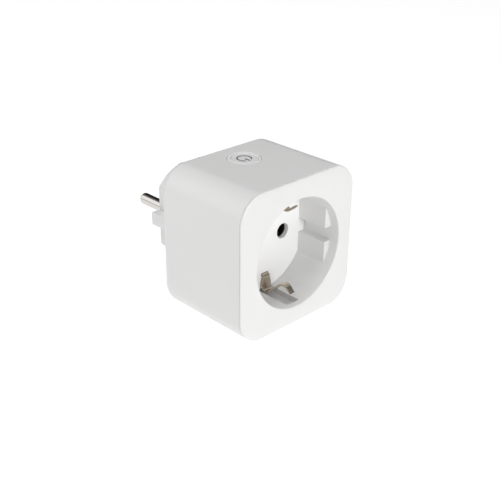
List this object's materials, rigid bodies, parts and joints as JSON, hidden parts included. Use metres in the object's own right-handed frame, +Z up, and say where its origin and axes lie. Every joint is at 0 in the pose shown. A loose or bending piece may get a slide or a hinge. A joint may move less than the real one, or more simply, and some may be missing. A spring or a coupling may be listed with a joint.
{
  "type": "plug-in power meter",
  "caption": "Cube-shaped plug-in power meter with a recessed round-pin earthed socket in front, a matching plug behind and a push button on top.",
  "frame": {"origin": "centre of the plug's mating face, from which the pins stand out", "axes": "+Y along the plug pins, away from the body; +X to the right seen from the socket side; +Z up, towards the button"},
  "size_m": [0.0574, 0.0801, 0.0574],
  "materials": {
    "white_abs": "satin white moulding",
    "white_abs_floor": "satin white moulding",
    "inner_plastic": "unpainted heat-resisting plastic",
    "button_plastic": "satin white cap",
    "symbol_ink": "dark grey mark",
    "ring_diffuser": "milky light guide",
    "nickel": "bright nickel plate",
    "spring_bronze": "dull spring bronze",
    "contact_brass": "plain brass",
    "copper": "copper",
    "soft_iron": "plated iron",
    "screw_steel": "dark zinc plate",
    "circuit_board": "green glass-epoxy board",
    "black_plastic": "black moulding",
    "relay_plastic": "blue case",
    "capacitor_sleeve": "dark blue sleeve",
    "capacitor_box": "yellow box",
    "varistor_coat": "blue lacquer",
    "resistor_coat": "green lacquer"
  },
  "bodies": {
    "casing": {"front_cover": "white_abs", "rear_housing": "white_abs", "socket_floor": "white_abs_floor", "contact_carrier": "inner_plastic", "plug_body": "white_abs", "live_pin": "nickel", "neutral_pin": "nickel", "live_contact": "contact_brass", "neutral_contact": "contact_brass", "earth_root_top": "spring_bronze", "earth_root_bottom": "spring_bronze", "earth_bridge": "spring_bronze", "earth_link": "spring_bronze", "plug_earth_strap": "nickel", "earth_pin_sleeve": "nickel", "light_ring": "ring_diffuser", "button_board": "circuit_board", "tact_switch_body": "black_plastic", "status_leds": "ring_diffuser", "board_header": "contact_brass", "main_board": "circuit_board", "relay_case": "relay_plastic", "relay_coil": "copper", "relay_yoke": "soft_iron", "relay_contact": "contact_brass", "bulk_capacitors": "capacitor_sleeve", "film_capacitor": "capacitor_box", "varistor": "varistor_coat", "supply_inductor": "copper", "fuse_resistor": "resistor_coat", "metering_chip": "black_plastic", "supply_chip": "black_plastic", "shunt_resistor": "soft_iron", "live_bar": "copper", "neutral_bar": "copper", "radio_board": "circuit_board", "radio_shield": "nickel", "housing_screws": "screw_steel", "board_screws": "screw_steel"},
    "button": {"button_cap": "button_plastic", "button_symbol": "symbol_ink"},
    "switch_plunger": {"tact_switch_plunger": "black_plastic"},
    "clip_top": {"earth_clip_top": "spring_bronze"},
    "clip_bottom": {"earth_clip_bottom": "spring_bronze"},
    "armature": {"relay_armature": "soft_iron"}
  },
  "joints": [
    {"name": "button_press", "type": "slide", "parent": "casing", "child": "button", "axis": [0, 0, -1], "range_m": [0, 0.0005], "stiffness_N_per_m": 1500, "springref_m": -0.0002},
    {"name": "plunger_press", "type": "slide", "parent": "casing", "child": "switch_plunger", "axis": [0, 0, -1], "range_m": [0, 0.0005]},
    {"name": "clip_top_flex", "type": "hinge", "parent": "casing", "child": "clip_top", "pos_m": [0, -0.0461, 0.0212], "axis": [1, 0, 0], "range_deg": [-15, 0], "stiffness_Nm_per_rad": 0.12},
    {"name": "clip_bottom_flex", "type": "hinge", "parent": "casing", "child": "clip_bottom", "pos_m": [0, -0.0461, -0.0212], "axis": [1, 0, 0], "range_deg": [0, 15], "stiffness_Nm_per_rad": 0.12},
    {"name": "armature_swing", "type": "hinge", "parent": "casing", "child": "armature", "pos_m": [0.002, -0.0349, -0.0142], "axis": [0, 0, -1], "range_deg": [0, 3.4], "stiffness_Nm_per_rad": 0.02}
  ],
  "couplings": [
    {"joint": "plunger_press", "follows": "button_press", "ratio": 1}
  ]
}
